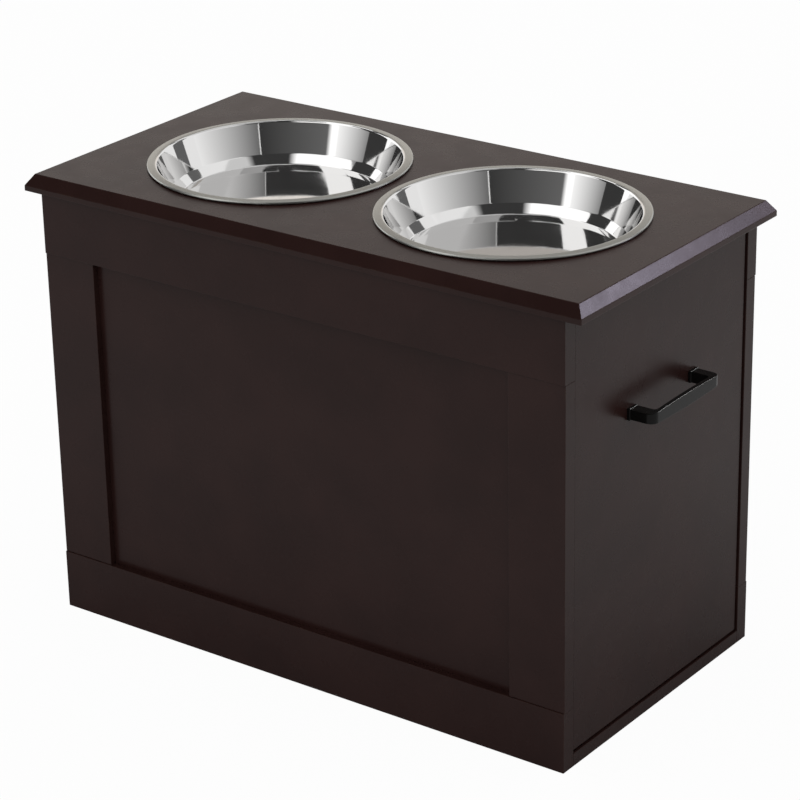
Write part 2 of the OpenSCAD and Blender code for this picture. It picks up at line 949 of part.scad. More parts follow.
top_board();
base_board();
left_end_panel();
front_top_rail();
front_bottom_rail();
front_left_stile();
front_right_stile();
front_panel();
rear_top_rail();
rear_bottom_rail();
rear_left_stile();
rear_right_stile();
rear_panel();
frame_dowels();
top_dowels();
cabinet_cam_bolts();
cabinet_cam_nuts();
front_channel();
rear_channel();
channel_screws();
slide_bumpers();
bowl_left();
bowl_right();
drawer_front();
drawer_side_front();
drawer_side_rear();
drawer_back();
drawer_bottom();
drawer_cam_bolts();
drawer_cam_nuts();
drawer_back_screws();
front_runner();
rear_runner();
runner_screws();
handle();
handle_screws();
front_ball_cage();
front_balls();
rear_ball_cage();
rear_balls();
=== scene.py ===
# %% [markdown]
# # A raised feeding stand with a storage drawer
#
# The real thing is a low cabinet of painted boards. Two spun steel bowls hang by their rims in its top board,
# and a drawer pulls out of its right-hand end on ball-bearing slides.
#
# The construction comes ready made and measured, so this lesson builds no cabinet. It gives every board its
# eased edges, spins the bowls, casts the handle, mixes the finishes and sets up a small photo studio.
#
# Everything is in metres. X runs along the cabinet towards the drawer, -Y is the front, and Z is up.

# %% Load the measured model
import json
import math

import bmesh
import bpy
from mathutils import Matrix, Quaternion, Vector


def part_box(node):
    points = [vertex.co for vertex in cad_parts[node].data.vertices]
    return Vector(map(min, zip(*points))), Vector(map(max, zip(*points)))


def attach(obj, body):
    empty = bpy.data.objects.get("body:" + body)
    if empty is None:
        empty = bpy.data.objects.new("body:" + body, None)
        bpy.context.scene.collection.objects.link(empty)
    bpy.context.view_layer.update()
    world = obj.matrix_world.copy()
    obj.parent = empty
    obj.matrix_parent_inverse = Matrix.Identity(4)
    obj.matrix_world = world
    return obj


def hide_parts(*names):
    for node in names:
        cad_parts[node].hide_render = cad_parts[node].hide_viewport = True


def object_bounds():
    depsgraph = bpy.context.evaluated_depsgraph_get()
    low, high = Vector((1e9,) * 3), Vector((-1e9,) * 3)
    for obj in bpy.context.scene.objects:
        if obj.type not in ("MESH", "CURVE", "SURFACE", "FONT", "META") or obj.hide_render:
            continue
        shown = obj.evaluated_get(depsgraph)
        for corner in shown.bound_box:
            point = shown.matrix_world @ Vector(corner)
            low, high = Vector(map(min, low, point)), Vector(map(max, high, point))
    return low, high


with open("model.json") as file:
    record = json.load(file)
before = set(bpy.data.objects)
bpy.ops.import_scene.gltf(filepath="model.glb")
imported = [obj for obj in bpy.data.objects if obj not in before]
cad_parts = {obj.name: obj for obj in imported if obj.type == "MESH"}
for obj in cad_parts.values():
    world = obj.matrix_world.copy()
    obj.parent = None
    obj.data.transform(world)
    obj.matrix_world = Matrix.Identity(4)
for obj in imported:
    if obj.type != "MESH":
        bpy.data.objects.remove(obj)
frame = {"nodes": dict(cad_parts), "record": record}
cad_low, cad_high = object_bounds()
MM = 0.001
print("model:", len(frame["nodes"]), "pieces,", [round(s / MM) for s in cad_high - cad_low], "mm")

# %% [markdown]
# ## Where the camera stands
#
# A long lens far away keeps the cabinet's edges nearly parallel, as in a catalogue picture. The camera could
# be dragged into place by hand. Here it is placed by numbers that a photographer would use: its angle round
# the cabinet from straight in front, its height angle, and its distance from a point near the middle.

# %% The camera
# The lens is in millimetres on Blender's usual 36 mm sensor. Distances are in metres.
LENS = 134.9
AZIMUTH = math.radians(36.68)
ELEVATION = math.radians(23.06)
ROLL = math.radians(-1.136)
DISTANCE = 2.665
AIM_POINT = Vector((0.0016, 0.0012, 0.2198))

towards_camera = Vector((
    math.sin(AZIMUTH) * math.cos(ELEVATION),
    -math.cos(AZIMUTH) * math.cos(ELEVATION),
    math.sin(ELEVATION),
))
camera = bpy.data.objects.new("camera", bpy.data.cameras.new("camera"))
camera.data.lens = LENS
camera.rotation_mode = "QUATERNION"
camera.location = AIM_POINT + towards_camera * DISTANCE
camera.rotation_quaternion = (-towards_camera).to_track_quat("-Z", "Y") @ Quaternion((0, 0, 1), ROLL)
bpy.context.scene.collection.objects.link(camera)
bpy.context.scene.camera = camera
bpy.context.scene.view_settings.view_transform = "Standard"
print("camera:", [round(c, 3) for c in camera.location])

# %% [markdown]
# ## Helpers for shader nodes
#
# A finish is a small network of nodes. It could be wired up one line at a time, but the same few steps would
# come back for every finish. So one helper adds a node, sets its options, and gives each of its inputs either
# a plain value or a link from another node's output. The others are short names for the sums used most.

# %% Add and link one node
def node(tree, kind, inputs=None, **settings):
    """A new shader node. Inputs are given by name or number, each a value or another node's output."""
    made = tree.nodes.new("ShaderNode" + kind)
    for name, value in settings.items():
        setattr(made, name, value)
    for name, value in (inputs or {}).items():
        if isinstance(value, bpy.types.NodeSocket):
            tree.links.new(value, made.inputs[name])
        else:
            made.inputs[name].default_value = value
    return made


def math_node(tree, operation, *values):
    """The result of one sum on values or outputs."""
    return node(tree, "Math", dict(enumerate(values)), operation=operation).outputs[0]


def spread(tree, value, low, high, start=0.0, end=1.0):
    """Maps a value from start..end to low..high, and holds it there."""
    inputs = {"Value": value, "From Min": start, "From Max": end, "To Min": low, "To Max": high}
    return node(tree, "MapRange", inputs).outputs[0]


# %% Blend two values or two colours
# The Mix node keeps separate inputs and outputs for each kind of data, so they are picked here by number.
def blend_values(tree, share, first, second):
    """The first value where share is 0, the second where it is 1."""
    mix = node(tree, "Mix", {0: share, 2: first, 3: second}, data_type="FLOAT")
    return mix.outputs[0]


def blend_colours(tree, share, first, second):
    """The first colour where share is 0, the second where it is 1."""
    mix = node(tree, "Mix", {0: share, 6: first, 7: second}, data_type="RGBA")
    return mix.outputs[2]


# %% [markdown]
# ## The studio
#
# The cabinet stands on a pale floor in an even white surrounding. The camera and the reflections see it
# white, while the light that it sheds on the cabinet is a little lower, so that a colour looks as it is
# written. More lamps could whiten the background too, but they would also wash out the dark paint.

# %% The rays that are to see white
def sees_white(tree):
    """1 for camera, glossy and transmission rays, and 0 for the rays that light the object."""
    path = node(tree, "LightPath").outputs
    either = math_node(tree, "MAXIMUM", path["Is Camera Ray"], path["Is Glossy Ray"])
    return math_node(tree, "MAXIMUM", either, path["Is Transmission Ray"])


# %% The white surrounding
WHITE = (1.0, 1.0, 1.0, 1.0)
SKY_LIGHT = 0.85
SKY_SEEN = 1.0

world = bpy.data.worlds.new("white_studio")
world.use_nodes = True
world.node_tree.nodes.clear()
sky = node(world.node_tree, "Background", {
    "Color": WHITE,
    "Strength": spread(world.node_tree, sees_white(world.node_tree), SKY_LIGHT, SKY_SEEN),
})
node(world.node_tree, "OutputWorld", {"Surface": sky.outputs[0]})
bpy.context.scene.world = world
print("surrounding: diffuse light", SKY_LIGHT)

# %% [markdown]
# The floor is part glow and part paint: the glow makes it white, and the paint catches the cabinet's soft
# shadow. A real floor lies in shadow close to what stands on it, and glossy paint mirrors that. So the glow
# that reflections see carries a painted shadow: it fades in with the distance from the cabinet, from
# SHADE_START to SHADE_END.

# %% The floor's finish
FLOOR_COLOUR = (0.65, 0.65, 0.65, 1.0)
FLOOR_GLOW_SEEN = 0.965
FLOOR_GLOW_MIRRORED = 0.9
SHADE_START = 0.03
SHADE_END = 0.35


def empty_material(name):
    """A new material and its cleared tree."""
    material = bpy.data.materials.new(name)
    material.use_nodes = True
    material.node_tree.nodes.clear()
    return material, material.node_tree


pale_floor, tree = empty_material("pale_floor")
paint_part = node(tree, "BsdfDiffuse", {"Color": FLOOR_COLOUR})
glow_part = node(tree, "Emission", {"Color": WHITE, "Strength": 1.0})
spot = node(tree, "SeparateXYZ", {0: node(tree, "TexCoord").outputs["Object"]}).outputs
past_end = math_node(tree, "SUBTRACT", math_node(tree, "ABSOLUTE", spot["X"]), cad_high.x)
past_front = math_node(tree, "SUBTRACT", math_node(tree, "ABSOLUTE", spot["Y"]), cad_high.y)
clear_of_cabinet = math_node(tree, "MAXIMUM", past_end, past_front)
# Painted shadow: the glow that reflections see is lower close to the cabinet.
mirrored_glow = spread(tree, clear_of_cabinet, 0, FLOOR_GLOW_MIRRORED, SHADE_START, SHADE_END)
camera_ray = node(tree, "LightPath").outputs["Is Camera Ray"]
glow_amount = blend_values(tree, camera_ray, mirrored_glow, FLOOR_GLOW_SEEN)
glow_share = math_node(tree, "MULTIPLY", sees_white(tree), glow_amount)
floor_mix = node(tree, "MixShader", {0: glow_share, 1: paint_part.outputs[0], 2: glow_part.outputs[0]})
node(tree, "OutputMaterial", {"Surface": floor_mix.outputs[0]})
print("finish:", pale_floor.name)

# %% The floor
# It lies a hair below the cabinet, because two faces in one plane would show through each other.
FLOOR_RADIUS = 12.0
FLOOR_SEGMENTS = 96
FLOOR_DROP = 0.2 * MM

bm = bmesh.new()
bmesh.ops.create_circle(bm, cap_ends=True, radius=FLOOR_RADIUS, segments=FLOOR_SEGMENTS)
bmesh.ops.translate(bm, vec=(0, 0, -FLOOR_DROP), verts=bm.verts)
floor_mesh = bpy.data.meshes.new("floor")
bm.to_mesh(floor_mesh)
bm.free()
floor_mesh.materials.append(pale_floor)
floor = bpy.data.objects.new("floor", floor_mesh)
bpy.context.scene.collection.objects.link(floor)
print("floor:", 2 * FLOOR_RADIUS, "m across")

# %% [markdown]
# Soft boxes are area lamps. Each is placed by its direction from the cabinet, given as the angle round it
# from straight behind, turning to the right, and the angle above the floor. A lamp is set by its radiance,
# which is how bright it looks, and not by its power. So it can be compared with the surrounding, which
# reflections see at 1.

# %% Places round the studio
STUDIO_CENTRE = Vector((0.0, 0.0, 0.4))


def studio_place(turn, height, distance):
    """The point at that turn from straight behind and that height angle, seen from the top board."""
    turn = math.radians(turn)
    height = math.radians(height)
    direction = Vector((
        math.sin(turn) * math.cos(height),
        math.cos(turn) * math.cos(height),
        math.sin(height),
    ))
    return STUDIO_CENTRE + direction * distance


# %% Soft boxes
# The overhead box lights everything. The top board mirrors the strip in its bevel and the sheen in its face.
def soft_box(name, turn, height, distance, size, radiance, colour=(1, 1, 1), in_reflections=True):
    """A rectangular lamp that faces the cabinet and that the camera doesn't see."""
    lamp = bpy.data.lights.new(name, "AREA")
    lamp.shape = "RECTANGLE"
    lamp.size, lamp.size_y = size
    lamp.color = colour
    lamp.energy = radiance * size[0] * size[1] * math.pi
    box = bpy.data.objects.new(name, lamp)
    box.location = studio_place(turn, height, distance)
    box.rotation_mode = "QUATERNION"
    box.rotation_quaternion = (STUDIO_CENTRE - box.location).to_track_quat("-Z", "Y")
    box.visible_camera = False
    box.visible_glossy = in_reflections
    bpy.context.scene.collection.objects.link(box)
    print("soft box", name, "energy", round(lamp.energy, 1))
    return box


soft_box(
    "overhead_box", turn=180, height=72, distance=2.2, size=(1.6, 1.6), radiance=0.9, in_reflections=False,
)
bevel_strip = soft_box(
    "bevel_strip", turn=42, height=22, distance=2.7, size=(0.5, 0.5), radiance=29, colour=(0.85, 0.80, 1.0),
)
top_sheen = soft_box(
    "top_sheen", turn=-36.6, height=23, distance=4, size=(3.5, 2.6), radiance=0.12,
)

# %% [markdown]
# ## Cards for the steel
#
# Polished steel has no look of its own: it shows the studio. Painting the bands of a bowl on its surface
# would be wrong from every other side, so the studio is dressed instead, with cards that only reflections
# see. Dark cards, called flags, draw the crisp bands of a polished bowl, and bright cards make its whites.
# Each is a sheet bent round the cabinet over a range of turns and height angles, in degrees.

# %% The cards' glow
# A card's brightness is written on its own vertices, so one material serves them all.
card_glow, tree = empty_material("card_glow")
glow_level = node(tree, "Attribute", attribute_name="glow").outputs["Color"]
card_light = node(tree, "Emission", {"Color": glow_level, "Strength": 1.0})
node(tree, "OutputMaterial", {"Surface": card_light.outputs[0]})
card_glow.cycles.emission_sampling = "NONE"
print("finish:", card_glow.name)

# %% Bend a card
# Flags stand nearest, and bright and warm cards behind them, so that a flag hides what it overlaps.
FLAG_DISTANCE = 4.0
BRIGHT_DISTANCE = 4.2
WARM_DISTANCE = 4.4
CARD_GRID = 24
HALF_CARD = 0.5


def between(ends, share):
    """The value at that share of the way from the first end to the second."""
    return ends[0] + (ends[1] - ends[0]) * share


def card(name, turns, heights, levels, distance=FLAG_DISTANCE, colour=(1, 1, 1)):
    """A card over a range of turns and height angles. Its glow runs from the first level to the second."""
    bm = bmesh.new()
    glow = bm.verts.layers.float_color.new("glow")
    bmesh.ops.create_grid(bm, x_segments=CARD_GRID, y_segments=CARD_GRID, size=HALF_CARD)
    for vert in bm.verts:
        across = vert.co.x + HALF_CARD
        up = vert.co.y + HALF_CARD
        level = between(levels, across)
        vert[glow] = (colour[0] * level, colour[1] * level, colour[2] * level, 1)
        vert.co = studio_place(between(turns, across), between(heights, up), distance)
    mesh = bpy.data.meshes.new(name)
    bm.to_mesh(mesh)
    bm.free()
    mesh.materials.append(card_glow)
    made = bpy.data.objects.new(name, mesh)
    bpy.context.scene.collection.objects.link(made)
    made.visible_camera = False
    made.visible_diffuse = False
    made.visible_shadow = False
    return made


# %% [markdown]
# The cards stand in rows. The far wall of a bowl mirrors the low row. Its belt, which leans further back,
# mirrors the middle row. Its floor mirrors the far wall, and by way of it the high row.
#
# In the low and high rows a fade from light to grey stops one degree before the dark flag, so a thin bright
# line of the surrounding shows between them. The middle row has no such gap. The side and rear flags draw the
# dark stripes near the ends of the walls.

# %% Flags
LOW = (2, 34)
MIDDLE = (34, 57)
HIGH = (57, 70)
CEILING = (70, 82)
BLACK = (0.045, 0.045)
GREY = (0.72, 0.72)

# Each card has its turns, its heights and its levels of glow.
FLAGS = {
    "flag_fade_low": ((50, 121), LOW, (1.05, 0.17)),
    "flag_fade_high": ((50, 118), HIGH, (0.90, 0.22)),
    "flag_low": ((122, 193), LOW, (0.045, 0.15)),
    "flag_low_end": ((193, 197), LOW, (0.15, 1.3)),
    "flag_high": ((119, 190), HIGH, BLACK),
    "flag_high_end": ((-170, -146), HIGH, BLACK),
    "flag_middle_fade": ((96, 106), MIDDLE, (0.72, 0.05)),
    "flag_middle": ((106, 156), MIDDLE, BLACK),
    "flag_middle_end": ((156, 166), MIDDLE, (0.05, 1.3)),
    "flag_ceiling": ((143, 190), CEILING, BLACK),
    "flag_ceiling_side": ((-122, -56), (67, 82), BLACK),
    "flag_zenith": ((-170, 190), (82, 89.5), BLACK),
    "flag_side": ((-122, -97), (2, 38), BLACK),
    "flag_side_high": ((-114, -84), (38, 54), BLACK),
    "flag_side_arm": ((-84, -56), (33, 43), (0.08, 0.08)),
    "flag_rear": ((-24, 26), (33, 37), (0.18, 0.18)),
    "flag_rear_arm": ((20, 35), (4, 31), (0.14, 0.14)),
    "card_grey": ((-14, 96), (44, 57), GREY),
    "card_grey_high": ((-14, 50), HIGH, GREY),
    "card_ceiling": ((-48, 143), CEILING, (0.5, 0.5)),
}
flags = [card(name, *settings) for name, settings in FLAGS.items()]
print("cards:", len(flags), "dark or grey")

# %% Bright and warm cards
# The warm ones stand behind the cabinet, where its top board and the bowls' flat rims mirror them.
BRIGHT = (1.38, 1.38)
WARM = (0.81, 0.76, 0.71)
BRIGHT_CARDS = {
    "card_front": ((-170, -156), LOW, BRIGHT),
    "card_front_fade": ((-156, -122), LOW, (1.2, 0.3)),
    "card_front_high": ((-170, -122), (34, 80), BRIGHT),
    "card_middle": ((166, 190), MIDDLE, BRIGHT),
    "card_side": ((-122, -56), (43, 80), BRIGHT),
    "card_side_low": ((-97, -66), (4, 33), BRIGHT),
}
WARM_CARDS = {
    "card_warm_low": ((-66, -12), (2, 19), (1.15, 1.15)),
    "card_warm_high": ((-66, -12), (19, 48), (0.58, 0.58)),
}
bright_cards = [
    card(name, *settings, distance=BRIGHT_DISTANCE) for name, settings in BRIGHT_CARDS.items()
]
warm_cards = [
    card(name, *settings, distance=WARM_DISTANCE, colour=WARM) for name, settings in WARM_CARDS.items()
]
print("cards:", len(bright_cards), "bright and", len(warm_cards), "warm")

# %% [markdown]
# ## Finishes
#
# Each finish starts from Blender's all-round surface shader, the Principled BSDF. A flat colour would look
# like plastic from close by, so fine noise stands in for what a real surface has at each scale: a sprayed
# film's ripple, the draw marks of a tool, or the grain of a casting. Most of it reads the piece's own object
# coordinates, which are metres here, so its scale is a real size.

# %% Start a finish
def finish(name, **fixed):
    """A new material with fixed inputs, an underscore for each space in an input's name.

    Returns it with its tree, its shader and the object coordinates.
    """
    material, tree = empty_material(name)
    shader = node(tree, "BsdfPrincipled", {key.replace("_", " "): value for key, value in fixed.items()})
    node(tree, "OutputMaterial", {"Surface": shader.outputs[0]})
    place = node(tree, "TexCoord").outputs["Object"]
    return material, tree, shader, place


def link(tree, output, shader, name):
    """Feeds one input of the shader."""
    tree.links.new(output, shader.inputs[name])


# %% Noise and bump
def noise(tree, place, wavelength, detail, stretch=(1, 1, 1)):
    """Cloudy noise from 0 to 1 with lumps about one wavelength across, drawn out along an axis if asked."""
    scaled = node(tree, "Mapping", {"Vector": place, "Scale": stretch}).outputs[0]
    made = node(tree, "TexNoise", {"Vector": scaled, "Scale": 1 / wavelength, "Detail": detail})
    return made.outputs["Fac"]


def bump(tree, height, depth):
    """A normal tilted by a height pattern whose full swing is the given depth."""
    made = node(tree, "Bump", {"Height": height, "Distance": depth, "Strength": 1.0})
    return made.outputs[0]


# %% [markdown]
# ### Espresso paint
#
# The boards carry a sprayed satin paint, so dark that on the top board most of what is seen is the studio
# mirrored in its film. The colour itself hardly varies. What gives it away as paint is a faint ripple, called
# orange peel, a sheen that is a little uneven, and edges where the film has thinned over the corner of the
# board. Those edges are marked on the mesh with an attribute, because noise alone can't tell where a board
# ends.

# %% Espresso paint
PAINT_DARK = (0.0185, 0.0080, 0.0070, 1.0)
PAINT_LIGHT = (0.0230, 0.0101, 0.0088, 1.0)
PAINT_THIN = (0.0300, 0.0160, 0.0120, 1.0)
FILM_GRAIN_SHARE = 0.15

espresso_paint, tree, shader, place = finish("espresso_paint", Specular_IOR_Level=0.11, IOR=1.5)
mottle = noise(tree, place, wavelength=60 * MM, detail=4.0)
sheen_patches = noise(tree, place, wavelength=25 * MM, detail=3.0)
orange_peel = noise(tree, place, wavelength=1.6 * MM, detail=1.0)
film_grain = noise(tree, place, wavelength=0.35 * MM, detail=1.0)
arris = node(tree, "Attribute", attribute_name="arris").outputs["Fac"]
wear = noise(tree, place, wavelength=12 * MM, detail=5.0)
rubbed = math_node(tree, "MULTIPLY", arris, spread(tree, wear, low=0, high=0.8, start=0.45, end=0.7))
light_share = spread(tree, mottle, low=0, high=1, start=0.35, end=0.65)
body_colour = blend_colours(tree, light_share, PAINT_DARK, PAINT_LIGHT)
ripple = math_node(tree, "ADD", orange_peel, math_node(tree, "MULTIPLY", film_grain, FILM_GRAIN_SHARE))
paint_roughness = spread(tree, sheen_patches, low=0.25, high=0.31, start=0.3, end=0.7)
link(tree, blend_colours(tree, rubbed, body_colour, PAINT_THIN), shader, "Base Color")
link(tree, paint_roughness, shader, "Roughness")
link(tree, bump(tree, ripple, depth=0.012 * MM), shader, "Normal")
print("finish:", espresso_paint.name)

# %% [markdown]
# ### Beech dowels
#
# The dowels are turned beech: pale, with short brown flecks and faint growth lines along the grain. Both are
# noise that is drawn out along Z, the way the dowels stand under the top board.

# %% Beech
BEECH_DARK = (0.50, 0.33, 0.18, 1.0)
BEECH_LIGHT = (0.68, 0.49, 0.30, 1.0)
BEECH_FLECK = (0.30, 0.16, 0.08, 1.0)

beech, tree, shader, place = finish("beech", Specular_IOR_Level=0.4)
grain = noise(tree, place, wavelength=0.8 * MM, detail=3.0, stretch=(1, 1, 0.1))
flecks = noise(tree, place, wavelength=0.5 * MM, detail=0.0, stretch=(1, 1, 0.25))
plain_wood = blend_colours(tree, grain, BEECH_DARK, BEECH_LIGHT)
fleck_share = spread(tree, flecks, low=0, high=0.7, start=0.68, end=0.75)
link(tree, blend_colours(tree, fleck_share, plain_wood, BEECH_FLECK), shader, "Base Color")
link(tree, spread(tree, grain, low=0.55, high=0.7), shader, "Roughness")
link(tree, bump(tree, grain, depth=0.05 * MM), shader, "Normal")
print("finish:", beech.name)

# %% [markdown]
# ### Spun steel
#
# A bowl is spun on a lathe and polished round and round. The marks run round it, so they blur a reflection
# across themselves and leave it sharp along themselves. The shader does that with anisotropy, which needs a
# direction: here the UV map's, whose U runs round the bowl and whose V runs along the sheet. The noise reads
# that map too, stretched into rings, fine ones for the marks and broad ones for the polish. The flat rim is
# left satin, and the wall and floor are polished.

# %% Bowl steel
POLISHED_COLOUR = (0.75, 0.745, 0.74, 1.0)
SATIN_COLOUR = (0.41, 0.415, 0.395, 1.0)
RING_SCALE = 0.25

bowl_steel, tree, shader, _ = finish(
    "bowl_steel", Metallic=1.0, Anisotropic=0.7, Anisotropic_Rotation=0.25,
)
round_bowl = node(tree, "Tangent", direction_type="UV_MAP", uv_map="round_and_along").outputs[0]
satin_rim = node(tree, "Attribute", attribute_name="rim").outputs["Fac"]
bowl_uv = node(tree, "UVMap", uv_map="round_and_along").outputs[0]
lathe_marks = noise(tree, bowl_uv, wavelength=RING_SCALE, detail=3.0, stretch=(0.6, 700, 1))
soft_bands = noise(tree, bowl_uv, wavelength=RING_SCALE, detail=2.0, stretch=(0.3, 40, 1))
polish = spread(tree, soft_bands, low=0.035, high=0.07, start=0.3, end=0.7)
satin = spread(tree, lathe_marks, low=0.26, high=0.36, start=0.3, end=0.7)
link(tree, blend_colours(tree, satin_rim, POLISHED_COLOUR, SATIN_COLOUR), shader, "Base Color")
link(tree, blend_values(tree, satin_rim, polish, satin), shader, "Roughness")
link(tree, round_bowl, shader, "Tangent")
link(tree, bump(tree, lathe_marks, depth=0.001 * MM), shader, "Normal")
print("finish:", bowl_steel.name)

# %% [markdown]
# ### Zinc plate, bright steel, black casting and rubber
#
# The hardware gets four more finishes. Zinc plate is grey and slightly cloudy, with faint rolling lines along
# the slides. The balls and cages are bright, the handle is a casting under a satin black coat, and the
# bumpers are dull moulded rubber. Each blends two close colours by noise, and lets the same noise vary its
# sheen.

# %% Zinc plate and bright steel
ZINC_DARK = (0.42, 0.43, 0.45, 1.0)
ZINC_LIGHT = (0.60, 0.61, 0.62, 1.0)
STEEL_DARK = (0.60, 0.60, 0.60, 1.0)
STEEL_LIGHT = (0.70, 0.70, 0.69, 1.0)

zinc_plate, tree, shader, place = finish("zinc_plate", Metallic=1.0)
cloud = noise(tree, place, wavelength=6 * MM, detail=4.0)
rolled = noise(tree, place, wavelength=0.4 * MM, detail=2.0, stretch=(0.05, 1, 1))
link(tree, blend_colours(tree, cloud, ZINC_DARK, ZINC_LIGHT), shader, "Base Color")
link(tree, spread(tree, cloud, low=0.28, high=0.42), shader, "Roughness")
link(tree, bump(tree, rolled, depth=0.01 * MM), shader, "Normal")
print("finish:", zinc_plate.name)

bright_steel, tree, shader, place = finish("bright_steel", Metallic=1.0)
smear = noise(tree, place, wavelength=3 * MM, detail=3.0)
link(tree, blend_colours(tree, smear, STEEL_DARK, STEEL_LIGHT), shader, "Base Color")
link(tree, spread(tree, smear, low=0.12, high=0.22), shader, "Roughness")
print("finish:", bright_steel.name)

# %% Black casting and rubber
COAT_DARK = (0.0030, 0.0028, 0.0027, 1.0)
COAT_LIGHT = (0.0055, 0.0050, 0.0048, 1.0)
RUBBER_DARK = (0.012, 0.012, 0.012, 1.0)
RUBBER_LIGHT = (0.03, 0.03, 0.03, 1.0)

black_casting, tree, shader, place = finish("black_casting", Specular_IOR_Level=0.1, IOR=1.5)
cast_grain = noise(tree, place, wavelength=0.5 * MM, detail=2.0)
worn = noise(tree, place, wavelength=14 * MM, detail=4.0)
link(tree, blend_colours(tree, worn, COAT_DARK, COAT_LIGHT), shader, "Base Color")
link(tree, spread(tree, worn, low=0.22, high=0.30), shader, "Roughness")
link(tree, bump(tree, cast_grain, depth=0.008 * MM), shader, "Normal")
print("finish:", black_casting.name)

black_rubber, tree, shader, place = finish("black_rubber", Specular_IOR_Level=0.3)
dust = noise(tree, place, wavelength=2 * MM, detail=4.0)
link(tree, blend_colours(tree, dust, RUBBER_DARK, RUBBER_LIGHT), shader, "Base Color")
link(tree, spread(tree, dust, low=0.6, high=0.8), shader, "Roughness")
link(tree, bump(tree, dust, depth=0.03 * MM), shader, "Normal")
print("finish:", black_rubber.name)

# %% [markdown]
# ## Finished pieces
#
# Every new piece is handed over in the same way: its mesh becomes an object at the origin, takes its finish,
# rides on the body that the measured piece rides on, and takes that piece's place. The object could be moved
# into place instead, but with the place in its mesh the object coordinates are the cabinet's own.

# %% Look up a measured piece
def body_of_node(name):
    """The body that a measured piece rides on."""
    return next(body for body, names in frame["record"]["behaviour"]["bodies"].items() if name in names)


def slot_of_node(name):
    """The record's material slot for a measured piece."""
    return next(row["material_slot"] for row in frame["record"]["subparts"] if row["node"] == name)


# %% Hand a mesh over
def piece_from(bm, name, stands_for, material, smooth=False):
    """Turns a bmesh into a finished piece that replaces a measured one."""
    for face in bm.faces:
        face.smooth = smooth
    mesh = bpy.data.meshes.new(name)
    bm.to_mesh(mesh)
    bm.free()
    mesh.materials.append(material)
    made = bpy.data.objects.new(name, mesh)
    bpy.context.scene.collection.objects.link(made)
    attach(made, body_of_node(stands_for))
    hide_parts(stands_for)
    return made


# %% [markdown]
# ## Boards with eased edges
#
# No board leaves a workshop with knife edges: each arris is sanded to a small round, which catches the light
# and turns every joint into a fine line. A Bevel modifier would round the bores and grooves too. So the
# measured board is copied, its loose triangles are merged into clean faces, and only the long edges of the
# board itself are picked out and bevelled.

# %% Copy a board
MERGE_DISTANCE = 0.005 * MM
FLAT_ANGLE = math.radians(0.5)


def merged_copy(name):
    """A clean bmesh of a measured piece: doubles merged and flat areas joined."""
    bm = bmesh.new()
    bm.from_mesh(frame["nodes"][name].data)
    bmesh.ops.remove_doubles(bm, verts=bm.verts, dist=MERGE_DISTANCE)
    bmesh.ops.dissolve_limit(bm, angle_limit=FLAT_ANGLE, verts=bm.verts, edges=bm.edges)
    return bm


# %% Find its arrises
# A plain board fills its box, so its arrises lie along the box's edges. The top board's sides slope, so its
# arrises are those near its outline, outside the bowls' holes.
SHARP_ANGLE = math.radians(30)
SHORTEST_ARRIS = 4 * MM
ON_PLANE = 0.02 * MM
OUTLINE_WIDTH = 20 * MM


def is_long_and_sharp(edge):
    """True for an edge worth easing."""
    sharp = len(edge.link_faces) == 2 and edge.calc_face_angle(0) > SHARP_ANGLE
    return sharp and edge.calc_length() > SHORTEST_ARRIS


def box_sides(vert, low, high):
    """The sides of the board's box that a vertex lies on."""
    return {
        (axis, end) for axis in range(3) for end, limit in enumerate((low, high))
        if abs(vert.co[axis] - limit[axis]) < ON_PLANE
    }


def is_box_arris(edge, low, high):
    """True for a long sharp edge along one of the box's own edges."""
    shared = box_sides(edge.verts[0], low, high) & box_sides(edge.verts[1], low, high)
    return len(shared) >= 2 and is_long_and_sharp(edge)


def is_outline_arris(edge, low, high):
    """True for a long sharp edge near the outline of a board that is centred on the origin."""
    near_outline = all(
        abs(v.co.x) > high.x - OUTLINE_WIDTH or abs(v.co.y) > high.y - OUTLINE_WIDTH for v in edge.verts
    )
    return near_outline and is_long_and_sharp(edge)


# %% Ease the boards
EASE = 0.5 * MM
EASE_STEPS = 3
FRAME_PARTS = ["top_rail", "bottom_rail", "left_stile", "right_stile", "panel"]
BOARD_NODES = [
    "top_board", "base_board", "left_end_panel",
    "drawer_front", "drawer_side_front", "drawer_side_rear", "drawer_back", "drawer_bottom",
]
BOARD_NODES += [side + part for side in ("front_", "rear_") for part in FRAME_PARTS]


def eased_board(name):
    """The board again, its arrises rounded and marked for the paint."""
    bm = merged_copy(name)
    mark = bm.faces.layers.float.new("arris")
    low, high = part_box(name)
    is_arris = is_outline_arris if name == "top_board" else is_box_arris
    arrises = [e for e in bm.edges if is_arris(e, low, high)]
    rounded = bmesh.ops.bevel(
        bm, geom=arrises, offset=EASE, segments=EASE_STEPS, profile=0.5, affect="EDGES", material=-1,
    )
    for face in rounded["faces"]:
        face[mark] = 1.0
    board = piece_from(bm, name + "_eased", name, espresso_paint)
    print(board.name, len(arrises), "edges eased,", len(board.data.polygons), "faces")
    return board


boards = {name: eased_board(name) for name in BOARD_NODES}

# %% Light the top board by itself
# These two boxes would leave sparks in the steel, so they light the top board alone.
def shine_only_on(name, objects, sources):
    """Lets lamps or glowing cards light these objects and no others."""
    receivers = bpy.data.collections.new(name)
    for lit in objects:
        receivers.objects.link(lit)
    for source in sources:
        source.light_linking.receiver_collection = receivers
    print(name, [lit.name for lit in objects])


shine_only_on("lit_on_top", [boards["top_board"]], [bevel_strip, top_sheen])

# %% [markdown]
# ## The bowls
#
# A bowl is one round sheet, pressed over a former as it spins. It could be cut out of solid shapes, but it is
# quicker and truer to model it as it is made: the sheet's section is drawn once, from the middle of the floor
# out over a short belt, the leaning wall, the bend and the flat rim to the curled edge, and spun round the
# axis. The belt is the cone between two small bends that the former leaves at the foot of the wall. It lies
# close to the plain fillet of the measured bowl.

